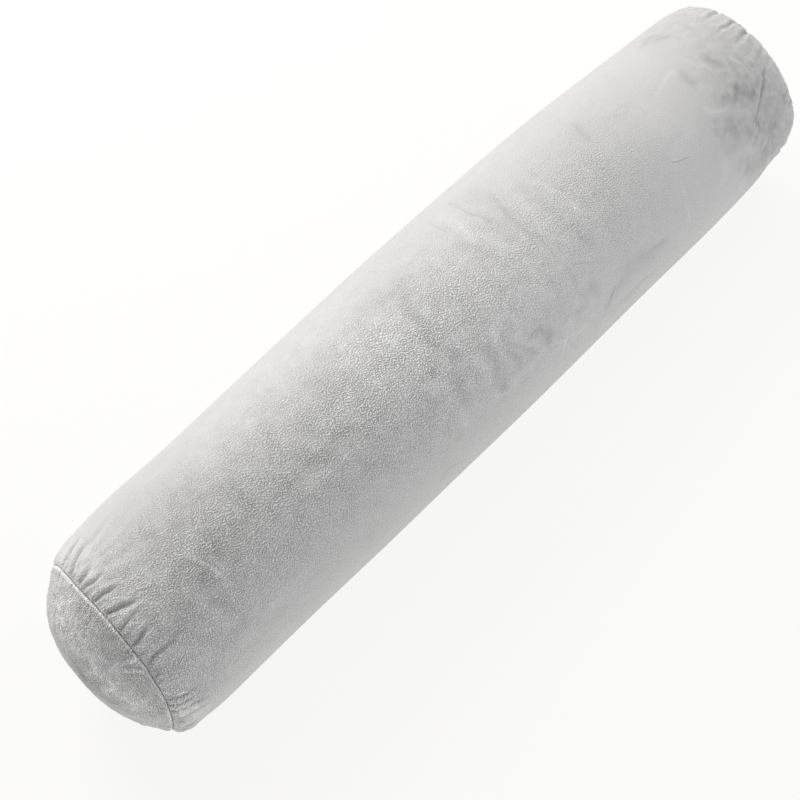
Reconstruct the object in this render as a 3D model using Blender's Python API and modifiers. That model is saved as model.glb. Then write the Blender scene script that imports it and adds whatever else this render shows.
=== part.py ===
"""Body pillow: a long bolster in plush cloth, lying on its side.

Three sewn pieces make it. The body panel is a tube, stuffed full, crowned along its length and drawn
in where each end seam gathers it. A round end panel is domed by the filling at either end. The pillow
lies along X with its left end at -X, on the plane z = 0, and its weight presses a flat spot underneath.
"""
import math

import bmesh
import bpy
from mathutils import Matrix

COLLECTION = "body_pillow"

# Driving dimensions, in metres
LENGTH = 0.920               # overall, between the tops of the two domed ends
BODY_RADIUS = 0.0942         # radius of the tube without its crown
CROWN = 0.0109               # how much fuller than that the tube is at its fullest
CROWN_CENTRE = 0.089         # where it is fullest, measured along X from the middle
SWELL_REACH = 0.24           # length at each end over which the tube swells or tapers
BOW = 0.0070                 # how far the ends bend sideways, towards -Y
SEAM_GAP = 0.0003            # clearance between the sewn pieces
GROOVE_DEPTH = 0.0020        # how deep the seam lies below the cloth on either side
GROOVE_REACH = 0.0045        # how far from the seam the cloth dips into that groove
GATHER_WIDTH = 0.0150        # half the width of one gathered fold, round the tube
PANEL_FADE = 2.5             # how much sooner a gather fades out on the end panel than on the tube
SAG = 0.0095                 # how far the weight lowers the pillow's axis where it is fullest
FLAT_SPOT = 0.0025           # height of the lowest sliver, pressed flat where the pillow rests
FLAT_EDGE = 0.0010           # height over which the flat spot turns up into the round underside
UNDERSIDE = 2.4              # exponent of the section below its widest line; a circle's is 2

# Resolution
SIDES = 60                   # facets round the pillow
TUBE_RINGS = 36              # rings along the tube
DOME_RINGS = 8               # rings on a domed end panel
GROOVE_RINGS = 2             # rings inside the groove, on either side of the seam

# The two ends. rounding: length over which the pillow rounds off to its end; roundness: exponent of that
# curve, 2 being elliptical; swell: how much wider the tube gets towards the end, or narrower if below 0;
# panel: height of the domed end panel, from its seam to its top; skew: how far the end leans along +X for
# each metre towards +Y.
ENDS = {
    "left": dict(rounding=0.0740, roundness=2.16, swell=0.0090, panel=0.0414, skew=0.090),
    "right": dict(rounding=0.0426, roundness=3.10, swell=-0.0063, panel=0.0135, skew=0.100),
}

# Main gathers where a seam draws the tube in. turn: place round the tube, in degrees from the top towards
# +Y; depth: of the dip, and reach: its length from the seam, both in metres.
GATHERS = {
    "left": [
        dict(turn=64, depth=0.0026, reach=0.050),
        dict(turn=40, depth=0.0018, reach=0.030),
        dict(turn=16, depth=0.0014, reach=0.026),
        dict(turn=-10, depth=0.0012, reach=0.024),
        dict(turn=-38, depth=0.0016, reach=0.032),
        dict(turn=-62, depth=0.0022, reach=0.034),
        dict(turn=-88, depth=0.0018, reach=0.030),
        dict(turn=-118, depth=0.0016, reach=0.028),
        dict(turn=100, depth=0.0018, reach=0.030),
        dict(turn=130, depth=0.0014, reach=0.028),
    ],
    "right": [
        dict(turn=84, depth=0.0020, reach=0.040),
        dict(turn=58, depth=0.0026, reach=0.034),
        dict(turn=30, depth=0.0020, reach=0.046),
        dict(turn=4, depth=0.0024, reach=0.052),
        dict(turn=-24, depth=0.0018, reach=0.040),
        dict(turn=-52, depth=0.0022, reach=0.036),
        dict(turn=-82, depth=0.0018, reach=0.030),
        dict(turn=-116, depth=0.0016, reach=0.028),
        dict(turn=118, depth=0.0016, reach=0.030),
    ],
}

# Worked out from the above
HALF_LENGTH = LENGTH / 2
FULL_RADIUS = BODY_RADIUS + CROWN
AXIS_HEIGHT = FULL_RADIUS - SAG
SEAM_AT = {"left": -HALF_LENGTH + ENDS["left"]["panel"], "right": HALF_LENGTH - ENDS["right"]["panel"]}

# The same pale grey plush on the tube and on its ends
PLUSH_COLOUR = (0.50, 0.495, 0.485, 1.0)
PLUSH_ROUGHNESS = 0.95


def remove_scene_objects():
    for scene_object in list(bpy.data.objects):
        bpy.data.objects.remove(scene_object, do_unlink=True)


def plush_material(name):
    material = bpy.data.materials.new(name)
    material.use_nodes = True
    shader = material.node_tree.nodes["Principled BSDF"]
    shader.inputs["Base Color"].default_value = PLUSH_COLOUR
    shader.inputs["Roughness"].default_value = PLUSH_ROUGHNESS
    shader.inputs["Metallic"].default_value = 0.0
    return material


def end_at(x):
    """Name of the end that is nearer to x."""
    return "left" if x < 0 else "right"


def crowned_radius(x):
    """Radius at x before the ends are rounded off: fullest at the crown, swelling or tapering to an end."""
    from_top = HALF_LENGTH - abs(x)
    crown = CROWN * (1 - ((x - CROWN_CENTRE) / HALF_LENGTH) ** 2)
    swell = ENDS[end_at(x)]["swell"] * max(0.0, 1 - from_top / SWELL_REACH) ** 2
    return BODY_RADIUS + crown + swell


def pillow_radius(x):
    """Radius of the stuffed pillow at x, tube and end panels alike, with the seams' grooves."""
    end = ENDS[end_at(x)]
    from_top = HALF_LENGTH - abs(x)
    rounded = max(0.0, 1 - from_top / end["rounding"]) ** end["roundness"]
    from_seam = abs(x - SEAM_AT[end_at(x)])
    groove = GROOVE_DEPTH * max(0.0, 1 - from_seam / GROOVE_REACH) ** 2
    return crowned_radius(x) * (1 - rounded) ** (1 / end["roundness"]) - groove


def groove_distances():
    """Distances from a seam of the rings that shape its groove, the nearest one on the sewn face."""
    first = SEAM_GAP / 2
    return [first + (GROOVE_REACH - first) * ring / GROOVE_RINGS for ring in range(GROOVE_RINGS + 1)]


def tube_stations():
    """Places along X of the tube's rings, from its right face to its left one."""
    right = [SEAM_AT["right"] - distance for distance in groove_distances()]
    left = [SEAM_AT["left"] + distance for distance in reversed(groove_distances())]
    middle, reach = (right[-1] + left[0]) / 2, (right[-1] - left[0]) / 2
    # Rings stand closer together towards the seams, where the tube rounds in
    turns = [math.pi * ring / TUBE_RINGS for ring in range(1, TUBE_RINGS)]
    return right + [middle + reach * math.cos(turn) for turn in turns] + left


def panel_stations(end_name):
    """Places along X of an end panel's rings, from next to its top to its sewn face."""
    end = ENDS[end_name]
    inward = 1 if end_name == "left" else -1
    dome = end["panel"] - GROOVE_REACH
    # Even steps in radius need steps along X that follow the dome's own curve
    rise = [dome * (ring / DOME_RINGS) ** end["roundness"] for ring in range(1, DOME_RINGS)]
    rise += [end["panel"] - distance for distance in reversed(groove_distances())]
    return [inward * (out - HALF_LENGTH) for out in rise]


def outline(stations, start, stop):
    """Profile points (radius, x) through the stations, closed on the axis at start and stop."""
    return [(0.0, start)] + [(pillow_radius(x), x) for x in stations] + [(0.0, stop)]


def tube_outline():
    stations = tube_stations()
    return outline(stations, stations[0], stations[-1])


def right_panel_outline():
    stations = panel_stations("right")
    return outline(stations, HALF_LENGTH, stations[-1])


def left_panel_outline():
    stations = panel_stations("left")[::-1]
    return outline(stations, stations[0], -HALF_LENGTH)


def turned_mesh(name, profile):
    """Mesh of a profile turned once about the X axis."""
    line = bpy.data.meshes.new(name + "_profile")
    points = [(radius, 0.0, x) for radius, x in profile]
    line.from_pydata(points, [(i, i + 1) for i in range(len(points) - 1)], [])
    turning = bpy.data.objects.new(name + "_profile", line)
    bpy.context.scene.collection.objects.link(turning)
    screw = turning.modifiers.new("turn", "SCREW")
    screw.axis = "Z"
    screw.steps = screw.render_steps = SIDES
    screw.use_merge_vertices = True
    screw.merge_threshold = 0.00001
    mesh = bpy.data.meshes.new_from_object(turning.evaluated_get(bpy.context.evaluated_depsgraph_get()))
    bpy.data.objects.remove(turning, do_unlink=True)
    mesh.name = name
    mesh.transform(Matrix.Rotation(math.pi / 2, 4, "Y"))
    return mesh


def gather_share(x, turn):
    """Share of the radius that the gathers leave at x and at this turn round the pillow, in radians."""
    end_name = end_at(x)
    from_seam = abs(x - SEAM_AT[end_name])
    seam_radius = pillow_radius(SEAM_AT[end_name])
    if abs(x) > abs(SEAM_AT[end_name]):
        from_seam *= PANEL_FADE
    depth = 0.0
    for gather in GATHERS[end_name]:
        off = math.remainder(turn - math.radians(gather["turn"]), math.tau) * seam_radius
        across = max(0.0, 1 - (off / GATHER_WIDTH) ** 2)
        along = max(0.0, 1 - from_seam / gather["reach"])
        depth += gather["depth"] * across * along
    return 1 - depth / seam_radius


def slumped(x, y, z):
    """Height of a point against the axis once the filling has slumped: lower and fuller underneath."""
    radius = math.hypot(y, z)
    if z >= 0 or radius == 0:
        return z
    fullness = (1 - (abs(y) / radius) ** UNDERSIDE) ** (1 / UNDERSIDE)
    return -radius * fullness * (AXIS_HEIGHT + FLAT_SPOT) / crowned_radius(x)


def pressed(height):
    """Height above the floor once the weight has pressed the lowest part flat."""
    if height >= FLAT_EDGE:
        return height
    return max(0.0, height + FLAT_EDGE) ** 2 / (4 * FLAT_EDGE)


def lay_down(mesh):
    """Gather a turned piece at its seam, let it slump, skew and bend it, and lay it on the floor."""
    for vertex in mesh.vertices:
        x, y, z = vertex.co
        gathered = gather_share(x, math.atan2(y, z))
        y, z = y * gathered, z * gathered
        along = abs(x) / HALF_LENGTH
        vertex.co = (
            x + ENDS[end_at(x)]["skew"] * along ** 3 * y,
            y - BOW * along ** 2,
            pressed(slumped(x, y, z) + AXIS_HEIGHT),
        )


def add_piece(name, profile, material, collection):
    mesh = turned_mesh(name, profile)
    lay_down(mesh)
    shape = bmesh.new()
    shape.from_mesh(mesh)
    bmesh.ops.triangulate(shape, faces=shape.faces)
    shape.to_mesh(mesh)
    shape.free()
    mesh.materials.append(material)
    mesh.shade_smooth()
    collection.objects.link(bpy.data.objects.new(name, mesh))


def build():
    remove_scene_objects()
    collection = bpy.data.collections.new(COLLECTION)
    bpy.context.scene.collection.children.link(collection)
    tube_cloth = plush_material("plush_tube")
    end_cloth = plush_material("plush_end")
    add_piece("body_tube", tube_outline(), tube_cloth, collection)
    add_piece("end_panel_right", right_panel_outline(), end_cloth, collection)
    add_piece("end_panel_left", left_panel_outline(), end_cloth, collection)


build()
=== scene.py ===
"""Body pillow: a long bolster in pale grey plush, sewn from a tube and two round ends, in its photo studio.

The stuffed outline is the part's own. Each piece is a net of rings on it, one station along X after the
other. Cloth simulation, folds placed one by one and a node tree of seam puckers give the net its relief, and
attributes on its points tell the plush where its nap lies lighter or darker, where it is grainy, creased or
sewn, and where painted shade and painted highlight go into its colour.
"""

import functools
import math
from collections import namedtuple

import bpy
import numpy as np
from bpy.props import FloatProperty, FloatVectorProperty, IntProperty, PointerProperty
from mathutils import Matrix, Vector


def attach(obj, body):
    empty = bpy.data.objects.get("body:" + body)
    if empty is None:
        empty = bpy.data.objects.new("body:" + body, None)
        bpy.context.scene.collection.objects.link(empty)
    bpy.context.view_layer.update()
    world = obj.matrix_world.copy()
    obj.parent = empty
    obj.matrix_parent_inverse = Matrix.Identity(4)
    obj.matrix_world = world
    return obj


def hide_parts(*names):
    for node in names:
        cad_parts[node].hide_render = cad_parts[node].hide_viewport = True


bl_info = {
    "name": "Body Pillow",
    "version": (1, 0, 0),
    "blender": (4, 5, 0),
    "location": "View3D > Sidebar > Body Pillow",
    "description": "Builds a stuffed plush bolster round its packed part, with its floor, lights and camera",
    "category": "Add Mesh",
}

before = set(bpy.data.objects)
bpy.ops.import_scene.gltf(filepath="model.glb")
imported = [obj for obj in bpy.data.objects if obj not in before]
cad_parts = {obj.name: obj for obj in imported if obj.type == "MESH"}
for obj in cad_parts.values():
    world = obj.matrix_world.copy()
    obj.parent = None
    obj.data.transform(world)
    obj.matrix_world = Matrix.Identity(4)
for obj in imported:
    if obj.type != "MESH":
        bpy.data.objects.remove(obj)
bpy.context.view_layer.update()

MM = 0.001

# ---- The stuffed outline, in metres, as the part has it --------------------------------------------------

HALF_LENGTH = 0.460
BODY_RADIUS = 0.0942
CROWN = 0.0109               # how much fuller than that the tube is at its fullest
CROWN_CENTRE = 0.089
SWELL_REACH = 0.24           # length at each end over which the tube swells or tapers
BOW = 0.0070                 # how far the ends bend sideways, towards -Y
SEAM_GAP = 0.0003
SAG = 0.0095
FLAT_SPOT = 0.0025
FLAT_EDGE = 0.0010
UNDERSIDE = 2.4              # exponent of the section below its widest line
AXIS_HEIGHT = BODY_RADIUS + CROWN - SAG
NORMAL_STEP = 5e-5           # half the length over which the outline's slope is measured
OUTLINE_POINTS = 6001        # on the table that gives the outline's length
INWARD = {"left": 1, "right": -1}
ENDS = {
    "left": dict(rounding=0.0740, roundness=2.16, swell=0.0090, panel=0.0414, skew=0.0507),
    "right": dict(rounding=0.0426, roundness=3.10, swell=-0.0063, panel=0.0135, skew=0.0999),
}
SEAM_AT = {end: INWARD[end] * (ENDS[end]["panel"] - HALF_LENGTH) for end in ENDS}

# Where the left seam runs off its plane: turn in degrees from the top towards +Y, offset in mm along X
LEFT_SEAM_WANDER = [
    (-180, -2.0), (-140, -8.0), (-103, -10.0), (-76, -6.8), (-60, -4.3), (-48, -3.0), (-38, -1.7),
    (-26, -1.2), (-14, -0.7), (10, 0.0), (22, 0.3), (39, 2.1), (50, 3.4), (90, 4.6), (130, 2.8), (180, -2.0),
]
WANDER_REACH = 0.110         # distance into the tube over which the wander fades

# ---- Relief placed one by one ----------------------------------------------------------------------------

# Places are (x in mm, turn in degrees from the top towards +Y). Lengths, widths and heights are in mm, and
# what is round the pillow in degrees.
Lump = namedtuple("Lump", "x turn long wide height")
Fold = namedtuple("Fold", "path width depth")              # a ridge where depth is below 0
Crease = namedtuple("Crease", "path width depth")
NapAndPaintedLight = namedtuple("NapAndPaintedLight", "path width shade")        # marks of the nap and of painted shade and painted highlight; shade: how much darker or lighter, as a logarithm

LUMPS = [
    Lump(-335, 68, 45, 60, 2.2),
    Lump(-428, 75, 24, 45, -3.0),
    Lump(-395, 70, 26, 50, -1.2),
    Lump(-450, 55, 14, 45, 2.4),
    Lump(-446, -95, 16, 50, -2.0),
    Lump(-398, -110, 18, 40, -1.6),
    Lump(-415, -110, 9, 35, 2.4),
    Lump(-300, -108, 90, 60, 1.0),
    Lump(-170, -108, 90, 50, 1.6),
    Lump(0, -108, 100, 50, 1.0),
    Lump(215, -108, 100, 50, -1.3),
    Lump(-120, 68, 120, 50, -1.8),
    Lump(90, 68, 110, 60, -1.6),
    Lump(330, 68, 110, 60, -2.4),
    Lump(378, -108, 36, 50, -0.5),
    Lump(415, -105, 20, 45, -2.9),
    Lump(431, -96, 10, 25, -2.0),
    Lump(446, -85, 12, 30, 3.6),
    Lump(424, 68, 18, 40, -0.4),
    Lump(452, 0, 10, 35, -2.6),
    Lump(-409, -20, 7, 4, 1.8),
    Lump(-411, -31, 7, 4, 1.4),
]

FOLDS = {
    "left": [
        Fold(((-414, 50), (-402, 53), (-380, 62)), 3.0, 1.6),
        Fold(((-414, 42), (-404, 42), (-380, 47)), 4.0, 3.0),
        Fold(((-414, 37), (-405, 38), (-396, 41)), 2.0, 1.0),
        Fold(((-414, 31), (-398, 34), (-378, 38)), 4.0, 2.8),
        Fold(((-416, 26), (-406, 26)), 2.0, 0.9),
        Fold(((-415, 21), (-405, 20), (-394, 20)), 3.2, 2.3),
        Fold(((-416, 15), (-405, 13), (-393, 12)), 2.8, 2.3),
        Fold(((-417, 10), (-410, 9)), 2.0, 0.8),
        Fold(((-416, 6), (-404, 3), (-391, 1)), 3.2, 2.5),
        Fold(((-418, 1), (-408, -1), (-396, -5)), 2.4, -0.8),
        Fold(((-419, -4), (-407, -7), (-396, -10), (-383, -12)), 3.6, 2.9),
        Fold(((-418, -11), (-400, -13), (-374, -16)), 3.0, -0.9),
        Fold(((-417, -15), (-406, -15), (-396, -15)), 2.6, 1.8),
        Fold(((-420, -26), (-411, -26), (-402, -24), (-392, -23)), 2.9, 2.5),
        Fold(((-419, -38), (-407, -37), (-397, -37), (-384, -37)), 3.4, 2.0),
        Fold(((-419, -32), (-411, -31)), 2.0, 0.8),
        Fold(((-419, -46), (-410, -48)), 2.4, 1.5),
        Fold(((-421, -51), (-412, -52)), 2.2, 2.0),
        Fold(((-423, -61), (-415, -62)), 2.0, 1.6),
        Fold(((-423, -64), (-412, -66), (-392, -69)), 2.2, 2.8),
        Fold(((-424, -70), (-412, -70), (-396, -73)), 2.0, 2.4),
        Fold(((-424, -76), (-412, -76), (-388, -81)), 2.2, 2.8),
        Fold(((-425, -83), (-410, -84), (-388, -89)), 2.2, 2.6),
        Fold(((-426, -91), (-412, -91)), 2.1, 2.2),
        Fold(((-427, -96), (-412, -97)), 2.0, 1.8),
        Fold(((-397, 27), (-379, 31), (-350, 38)), 5.0, -0.7),
        Fold(((-386, 33), (-368, 35), (-345, 41)), 5.0, 0.7),
        Fold(((-392, 11), (-368, 7), (-345, 5)), 5.0, -0.7),
        Fold(((-388, 20), (-366, 20), (-345, 22)), 4.0, 0.6),
        Fold(((-385, 2), (-362, 0), (-340, 1)), 4.0, 0.6),
    ],
    "left panel": [
        Fold(((-416, 43), (-424, 42), (-432, 42)), 2.6, 2.0),
        Fold(((-434, 43), (-439, 39)), 2.2, 1.2),
        Fold(((-418, 25), (-424, 26)), 1.7, 1.2),
        Fold(((-420, 7), (-429, 6)), 1.8, 1.0),
        Fold(((-421, 1), (-428, -1)), 1.8, 1.2),
        Fold(((-420, -26), (-429, -25)), 2.2, 1.2),
        Fold(((-423, -33), (-428, -32), (-434, -27)), 1.8, -1.2),
        Fold(((-425, -40), (-432, -36), (-440, -29)), 2.1, -1.7),
        Fold(((-427, -75), (-433, -69), (-440, -62)), 1.9, -1.5),
        Fold(((-426, -71), (-429, -69)), 1.7, 0.8),
        Fold(((-427, -98), (-433, -94)), 2.2, 1.2),
    ],
    "right": [
        Fold(((446, 29), (427, 33), (417, 39)), 2.8, 1.4),
        Fold(((446, 20), (423, 18), (409, 20)), 4.6, 2.2),
        Fold(((446, 3), (415, 5), (402, 7)), 3.4, 1.7),
        Fold(((446, -5), (433, -6), (418, -8), (407, -10)), 4.0, 1.9),
        Fold(((446, -21), (429, -22), (417, -24), (405, -26)), 4.0, 0.7),
        Fold(((446, -36), (431, -35), (418, -33)), 3.4, 0.5),
        Fold(((446, -48), (434, -47), (422, -45)), 2.5, 0.4),
        Fold(((446, -59), (430, -54)), 2.5, 0.4),
        Fold(((446, -68), (427, -61)), 2.5, 0.4),
        Fold(((446, -79), (439, -78), (422, -71)), 2.5, 0.4),
        Fold(((397, -13), (400, -20), (403, -28)), 2.3, -0.4),
        Fold(((370, -9), (376, -15), (386, -18)), 2.5, -0.4),
    ],
    "right panel": [],
}

# Gathers that the filling pulls out of the seams where no photograph shows them, spread between two turns
Spread = namedtuple("Spread", "first last count length depth")
UNSEEN_GATHERS = {
    "left": [Spread(52, 180, 17, 26, 1.6), Spread(-180, -101, 11, 24, 1.4)],
    "left panel": [Spread(52, 180, 12, 15, 0.9), Spread(-180, -108, 8, 14, 0.9)],
    "right": [Spread(40, 180, 19, 30, 1.9), Spread(-180, -106, 11, 28, 1.6)],
    "right panel": [Spread(-180, 180, 38, 20, 1.1)],
}
GATHER_SEED = 11
GATHER_PLACES = (0.15, 0.85)     # where in its own share of the row a gather stands
GATHER_LENGTHS = (0.45, 1.25)    # shares of the row's length
GATHER_DEPTHS = (0.4, 1.15)      # shares of the row's depth
GATHER_WIDTHS = (1.7, 3.4)       # in mm
GATHER_LEAN = 5                  # degrees by which a gather's far end may turn aside

CREASES = [
    Crease(((-341, -12), (-335, -21), (-330, -27), (-327, -36)), 2.6, 0.9),
    Crease(((-335, -13), (-331, -21), (-326, -30), (-323, -38)), 2.4, -0.9),
    Crease(((-397, -6), (-383, -9), (-371, -12)), 2.4, 0.8),
    Crease(((-212, -30), (-189, -30), (-165, -28)), 1.6, 0.3),
    Crease(((-113, -90), (-107, -86), (-100, -83), (-91, -83), (-78, -90)), 1.6, 0.6),
    Crease(((79, 35), (79, 17), (83, 3)), 1.6, 0.3),
    Crease(((53, 40), (49, 24), (47, 11)), 1.6, 0.3),
    Crease(((119, -78), (129, -73), (144, -68)), 2.0, 0.7),
    Crease(((29, -63), (61, -70), (95, -76)), 2.0, 0.3),
    Crease(((79, -62), (68, -75), (58, -91)), 2.0, 0.3),
    Crease(((20, -73), (11, -72), (2, -70)), 1.6, 0.3),
    Crease(((262, -34), (273, -37), (286, -39)), 1.6, 0.7),
    Crease(((371, -54), (388, -47), (401, -42), (418, -33)), 2.2, 0.9),
    Crease(((381, -57), (385, -53)), 2.4, 0.7),
    Crease(((106, -37), (123, -43)), 2.0, 0.4),
]
CREASE_SPAN = 0.012          # distance from a crease past which a point no longer knows of it
CREASE_TAPERS = (0.2, 0.25)  # shares of a crease over which it sets in and runs out

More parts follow.
